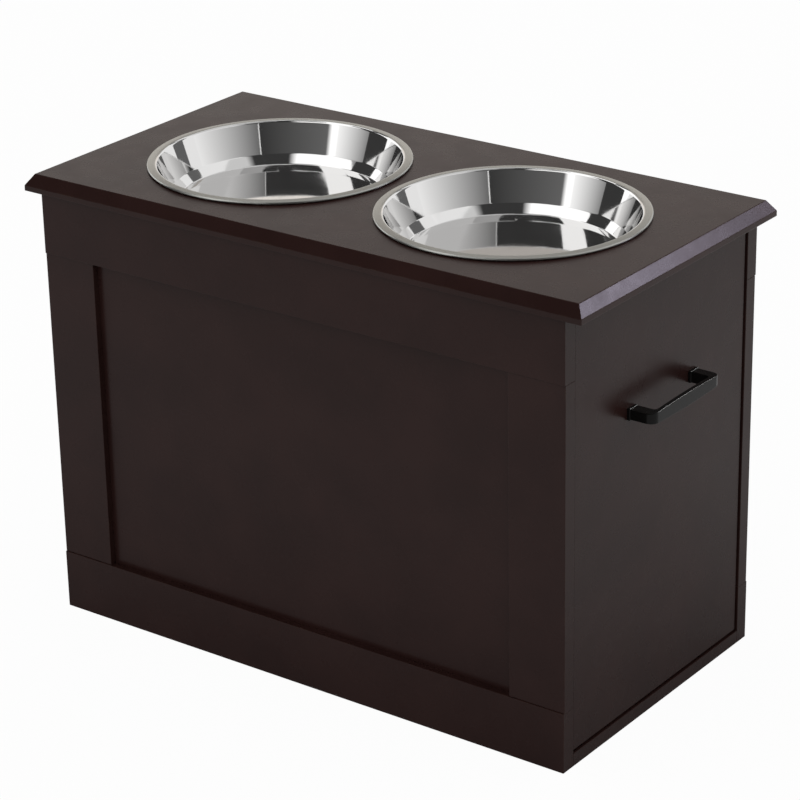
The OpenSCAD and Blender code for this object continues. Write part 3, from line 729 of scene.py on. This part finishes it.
# %% The bowl's sizes
# Leans and the droop are in degrees, the leans from upright. FILLET and BEND are radii of the face that
# shows, and the others go to the middle of the sheet.
SHEET = 0.8 * MM
BOWL_DEPTH = 37 * MM
RIM_WIDTH = 9 * MM
RIM_SEAT = 0.2 * MM
LEAN = 21
BELT_LEAN = 35
DROOP = 4
CURL_END = -150
FILLET = 16 * MM
BEND = 3 * MM
FOOT_RADIUS = 2 * MM
BELT_RADIUS = 5 * MM
CURL_RADIUS = 0.9 * MM

fillet_r = FILLET + SHEET / 2
bend_r = BEND - SHEET / 2
board_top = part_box("top_board")[1].z
bowl_low, bowl_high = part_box("bowl_left")
rim_r = (bowl_high.x - bowl_low.x) / 2
print("bowl:", round(rim_r / MM, 1), "mm radius")


# %% Where its bends have their centres
# The section is worked out from the rim, which hangs on the board, inwards and down to the floor.
def polar(radius, degrees):
    """A point of the section's plane, given by its distance and angle."""
    angle = math.radians(degrees)
    return Vector((radius * math.cos(angle), 0, radius * math.sin(angle)))


bend_at = rim_r - RIM_WIDTH + bend_r
curl_z = board_top + RIM_SEAT + SHEET / 2 + CURL_RADIUS
lift = polar(bend_r - CURL_RADIUS, 90 - DROOP)
run = (rim_r - CURL_RADIUS - SHEET / 2 - bend_at - lift.x) / math.cos(math.radians(DROOP))
bend_centre = Vector((bend_at, 0, curl_z - lift.z + run * math.sin(math.radians(DROOP))))
curl_centre = bend_centre + lift + polar(run, -DROOP)
floor_z = bend_centre.z + bend_r - BOWL_DEPTH
drop = bend_centre.z - floor_z - fillet_r
lean = math.radians(LEAN)
fillet_at = bend_at - (bend_r + fillet_r + math.sin(lean) * drop) / math.cos(lean)
fillet_centre = Vector((fillet_at, 0, floor_z + fillet_r))
print("bowl: floor at", round(floor_z / MM, 1), "mm")


# %% The belt's two small bends
def bend_in_fillet(radius, start, end):
    """The centre of a smaller bend between two lines that touch the fillet at those angles."""
    half_turn = math.radians(abs(end - start) / 2)
    reach = (fillet_r - radius) / math.cos(half_turn)
    return fillet_centre + polar(reach, (start + end) / 2)


foot_centre = bend_in_fillet(FOOT_RADIUS, -90, -BELT_LEAN)
belt_centre = bend_in_fillet(BELT_RADIUS, -BELT_LEAN, -LEAN)
belt_end = belt_centre.x + BELT_RADIUS
print("belt from", round(foot_centre.x / MM, 1), "to", round(belt_end / MM, 1), "mm out")

# %% Both faces of the sheet
FLOOR_RINGS = 5
FOOT_STEPS = 10
BELT_STEPS = 6
BEND_STEPS = 12
CURL_STEPS = 16


def arc(centre, radius, start, end, steps):
    """Points along an arc of the section."""
    return [centre + polar(radius, start + (end - start) * i / steps) for i in range(steps + 1)]


def sheet_face(side):
    """One face of the sheet from the axis to the curl's end: 1 is the inside, -1 the outside."""
    half = side * SHEET / 2
    flat = [Vector((foot_centre.x * i / FLOOR_RINGS, 0, floor_z + half)) for i in range(FLOOR_RINGS)]
    return (
        flat
        + arc(foot_centre, FOOT_RADIUS - half, -90, -BELT_LEAN, FOOT_STEPS)
        + arc(belt_centre, BELT_RADIUS - half, -BELT_LEAN, -LEAN, BELT_STEPS)
        + arc(bend_centre, bend_r + half, 180 - LEAN, 90 - DROOP, BEND_STEPS)
        + arc(curl_centre, CURL_RADIUS + half, 90 - DROOP, CURL_END, CURL_STEPS)
    )


section = sheet_face(1) + sheet_face(-1)[::-1]
print("section:", len(section), "points")

# %% Marks for the steel
SATIN_START = 1 * MM
SATIN_FADE = 1 * MM
NEAR_AXIS = 0.1 * MM


def rim_share(point):
    """0 on the polished wall and floor, 1 on the satin rim, with a short fade between them."""
    start = rim_r - RIM_WIDTH + SATIN_START
    return min(max((point.x - start) / SATIN_FADE, 0), 1)


def lay_uv_map(bm, along):
    """U is the turn round the axis. V is the length along the sheet, which each vertex carries."""
    uv = bm.loops.layers.uv.new("round_and_along")
    for face in bm.faces:
        middle = face.calc_center_median()
        heading = math.atan2(middle.y, middle.x)
        for loop in face.loops:
            point = loop.vert.co
            turn = heading
            if point.xy.length > NEAR_AXIS:
                turn = math.atan2(point.y, point.x)
                turn += math.tau * round((heading - turn) / math.tau)
            loop[uv].uv = (turn / math.tau, loop.vert[along])


# %% Spin the bowls
SPIN_STEPS = 192
SPIN_MERGE = 0.002 * MM


def spun_bowl(name):
    """Spins the section, marks the rim, and lays a UV map round and along the sheet."""
    low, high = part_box(name)
    bm = bmesh.new()
    rim = bm.verts.layers.float.new("rim")
    along = bm.verts.layers.float.new("along")
    line = [bm.verts.new(point) for point in section]
    length = 0
    for before, vert in zip([line[0]] + line, line):
        length += (vert.co - before.co).length
        vert[rim] = rim_share(vert.co)
        vert[along] = length
    edges = [bm.edges.new(pair) for pair in zip(line, line[1:])]
    bmesh.ops.spin(
        bm, geom=line + edges, cent=(0, 0, 0), axis=(0, 0, 1), angle=math.tau, steps=SPIN_STEPS,
        use_merge=True,
    )
    bmesh.ops.remove_doubles(bm, verts=bm.verts, dist=SPIN_MERGE)
    bmesh.ops.recalc_face_normals(bm, faces=bm.faces)
    lay_uv_map(bm, along)
    bmesh.ops.translate(bm, vec=((low.x + high.x) / 2, (low.y + high.y) / 2, 0), verts=bm.verts)
    bowl = piece_from(bm, name + "_spun", name, bowl_steel, smooth=True)
    print(bowl.name, len(bowl.data.polygons), "faces")
    return bowl


bowls = [spun_bowl(name) for name in ("bowl_left", "bowl_right")]

# %% Bright cards for the bowls alone
# The paint takes these cards for dark ones, which keeps the front bevel deep.
shine_only_on("lit_by_cards", bowls, bright_cards)

# %% [markdown]
# ## The handle
#
# The handle is a cast bow. A curve with a thick outline would do for a wire one, but this bow has flat faces.
# Seen from above it is a flat U with round corners, so it starts as that outline. It is raised to its height,
# made deeper towards the middle of the grip, and all its edges are softened as a casting's are. Each leg ends
# in a small foot pad.

# %% The bow's outline
GRIP_THICK = 4.5 * MM
GRIP_HEIGHT = 12 * MM
LEG_HEIGHT = 9 * MM
LEG_WIDTH = 11 * MM
OUTER_CORNER = 8 * MM
CORNER_STEPS = 12
PAD_THICK = 3 * MM
PAD_RIM = 0.8 * MM
handle_low, handle_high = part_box("handle")
bow_reach = handle_high.x - handle_low.x
bow_half = handle_high.y - PAD_RIM
handle_z = (handle_low.z + handle_high.z) / 2
print("bow:", round(bow_reach / MM, 1), "mm out and", round(2 * bow_half / MM, 1), "mm long")


def bow_outline(bm):
    """The flat U as one face, its four corners rounded."""
    inner_half = bow_half - LEG_WIDTH
    inner_reach = bow_reach - GRIP_THICK
    outline = [
        (0, -bow_half), (bow_reach, -bow_half), (bow_reach, bow_half), (0, bow_half),
        (0, inner_half), (inner_reach, inner_half), (inner_reach, -inner_half), (0, -inner_half),
    ]
    corners = [bm.verts.new((x, y, 0)) for x, y in outline]
    bm.faces.new(corners)
    rounds = ((corners[1:3], OUTER_CORNER), (corners[5:7], OUTER_CORNER - GRIP_THICK))
    for verts, radius in rounds:
        bmesh.ops.bevel(
            bm, geom=verts, offset=radius, segments=CORNER_STEPS, profile=0.5, affect="VERTICES",
            material=-1,
        )


# %% Raise and swell the bow
SWELL_CUTS = 16
CUT_MERGE = 0.001 * MM


def bow_height(y):
    """The bow's height at a place along the grip: an arc from the legs up to the middle."""
    swell = GRIP_HEIGHT - LEG_HEIGHT
    return LEG_HEIGHT + swell * (1 - (y / bow_half) ** 2)


def raise_bow(bm):
    """Raises the outline by 1, cuts it across, and scales each place to its height, level with Z = 0."""
    raised = bmesh.ops.extrude_face_region(bm, geom=bm.faces[:])
    top = [v for v in raised["geom"] if isinstance(v, bmesh.types.BMVert)]
    bmesh.ops.translate(bm, vec=(0, 0, 1), verts=top)
    for i in range(1, SWELL_CUTS):
        y = -bow_half + 2 * bow_half * i / SWELL_CUTS
        everything = bm.verts[:] + bm.edges[:] + bm.faces[:]
        bmesh.ops.bisect_plane(
            bm, geom=everything, dist=CUT_MERGE, plane_co=(0, y, 0), plane_no=(0, 1, 0),
        )
    for vert in bm.verts:
        vert.co.z = (vert.co.z - 0.5) * bow_height(vert.co.y)
    bmesh.ops.recalc_face_normals(bm, faces=bm.faces)


# %% Soften it and add the pads
BOW_EDGE = 0.9 * MM
PAD_EDGE = 0.6 * MM
SOFT_STEPS = 3
SOFT_ANGLE = math.radians(40)


def soften(bm, radius):
    """Rounds every sharp edge."""
    sharp = [e for e in bm.edges if len(e.link_faces) == 2 and e.calc_face_angle(0) > SOFT_ANGLE]
    bmesh.ops.bevel(
        bm, geom=sharp, offset=radius, segments=SOFT_STEPS, profile=0.5, affect="EDGES", material=-1,
        clamp_overlap=True,
    )


def add_foot_pad(bm, side):
    """Adds the pad at the foot of one leg, a softened block."""
    pad = bmesh.new()
    bmesh.ops.create_cube(pad, size=1)
    size = Vector((PAD_THICK, LEG_WIDTH + 2 * PAD_RIM, LEG_HEIGHT + 2 * PAD_RIM))
    middle = (PAD_THICK / 2, side * (bow_half - LEG_WIDTH / 2), 0)
    bmesh.ops.scale(pad, vec=size, verts=pad.verts)
    bmesh.ops.translate(pad, vec=middle, verts=pad.verts)
    soften(pad, PAD_EDGE)
    pad_mesh = bpy.data.meshes.new("pad")
    pad.to_mesh(pad_mesh)
    pad.free()
    bm.from_mesh(pad_mesh)
    bpy.data.meshes.remove(pad_mesh)


def cast_handle():
    """The bow and its two foot pads as one piece."""
    bm = bmesh.new()
    bow_outline(bm)
    raise_bow(bm)
    soften(bm, BOW_EDGE)
    for side in (-1, 1):
        add_foot_pad(bm, side)
    bmesh.ops.translate(bm, vec=(handle_low.x, 0, handle_z), verts=bm.verts)
    return piece_from(bm, "handle_cast", "handle", black_casting, smooth=True)


handle = cast_handle()
even_shading = handle.modifiers.new("even_shading", "WEIGHTED_NORMAL")
even_shading.keep_sharp = True
print(handle.name, len(handle.data.polygons), "faces")

# %% A glint for the handle alone
# A dark coat shows its rounded edge as a bright line where it mirrors a lamp.
handle_glint = soft_box("handle_glint", turn=28, height=33, distance=1.5, size=(0.3, 0.3), radiance=80)
shine_only_on("lit_by_glint", [handle], [handle_glint])

# %% [markdown]
# ## Hardware
#
# The slides, cages, balls, screws, dowels and cams have their true shapes already. Modelling them again would
# add nothing, so they stay as they are and only take a finish.

# %% Finish the hardware
HARDWARE_FINISH = {
    "beech": beech,
    "zinc_plate": zinc_plate,
    "bright_steel": bright_steel,
    "black_rubber": black_rubber,
}
for name, part in frame["nodes"].items():
    slot = slot_of_node(name)
    if slot in HARDWARE_FINISH:
        part.data.materials.clear()
        part.data.materials.append(HARDWARE_FINISH[slot])
        print(name, "in", slot)
